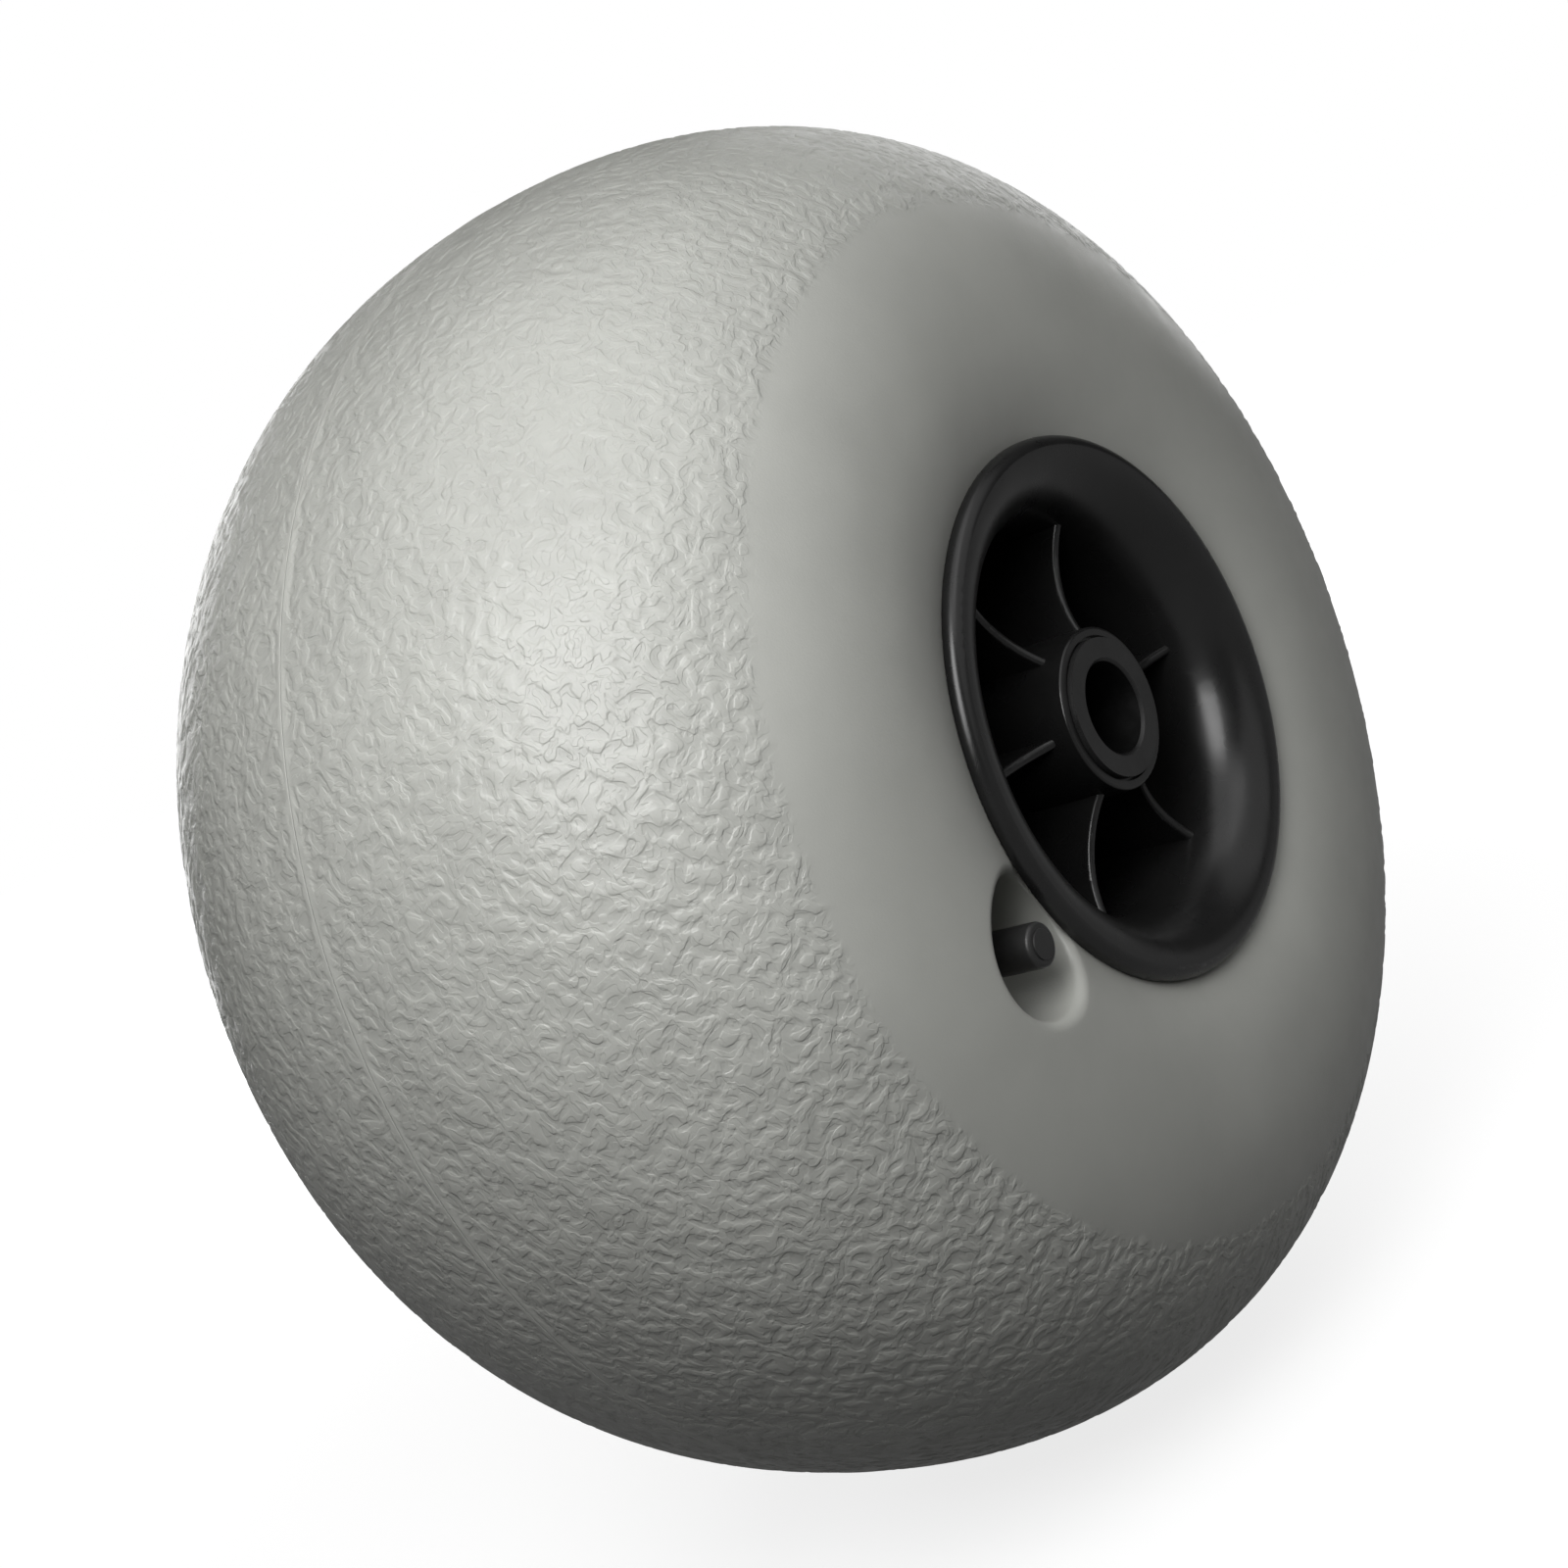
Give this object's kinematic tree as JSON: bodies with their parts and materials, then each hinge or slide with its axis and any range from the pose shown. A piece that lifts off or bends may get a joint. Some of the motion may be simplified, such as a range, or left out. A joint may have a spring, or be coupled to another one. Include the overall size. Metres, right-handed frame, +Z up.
{
  "type": "beach wheel",
  "caption": "Wide hollow balloon tyre with a textured tread on a ribbed black hub with flanged bushes and a recessed valve, for trolleys on soft sand.",
  "frame": {"origin": "wheel's centre, on the axle's line at the tyre's mid-plane", "axes": "+Y along the axle away from the valve side, +Z up, the front hub with the valve pocket faces -Y"},
  "size_m": [0.3007, 0.1744, 0.3006],
  "materials": {
    "tyre": "satin moulded polyurethane, embossed tread",
    "hub": "glossy black",
    "bush": "satin black",
    "valve_rubber": "dull black",
    "valve_brass": "turned",
    "seal": "dull black",
    "spring_steel": "drawn wire",
    "valve_cap": "satin dark grey"
  },
  "bodies": {
    "wheel": {"tyre": "tyre", "hub_front": "hub", "hub_rear": "hub", "bush_front": "bush", "bush_rear": "bush", "valve_body": "valve_rubber", "valve_tube": "valve_brass", "valve_core": "valve_brass", "valve_core_seal": "seal", "valve_spring": "spring_steel"},
    "cap": {"valve_cap": "valve_cap", "valve_cap_gasket": "seal"},
    "pin": {"valve_pin": "valve_brass", "valve_pin_seal": "seal"}
  },
  "joints": [
    {"name": "valve_cap_slide", "type": "slide", "parent": "wheel", "child": "cap", "axis": [0, -1, 0], "range_m": [0, 0.02]},
    {"name": "valve_pin_press", "type": "slide", "parent": "wheel", "child": "pin", "axis": [0, 1, 0], "range_m": [0, 0.0015], "stiffness_N_per_m": 500, "springref_m": -0.0005, "deforming": ["valve_spring"]}
  ]
}
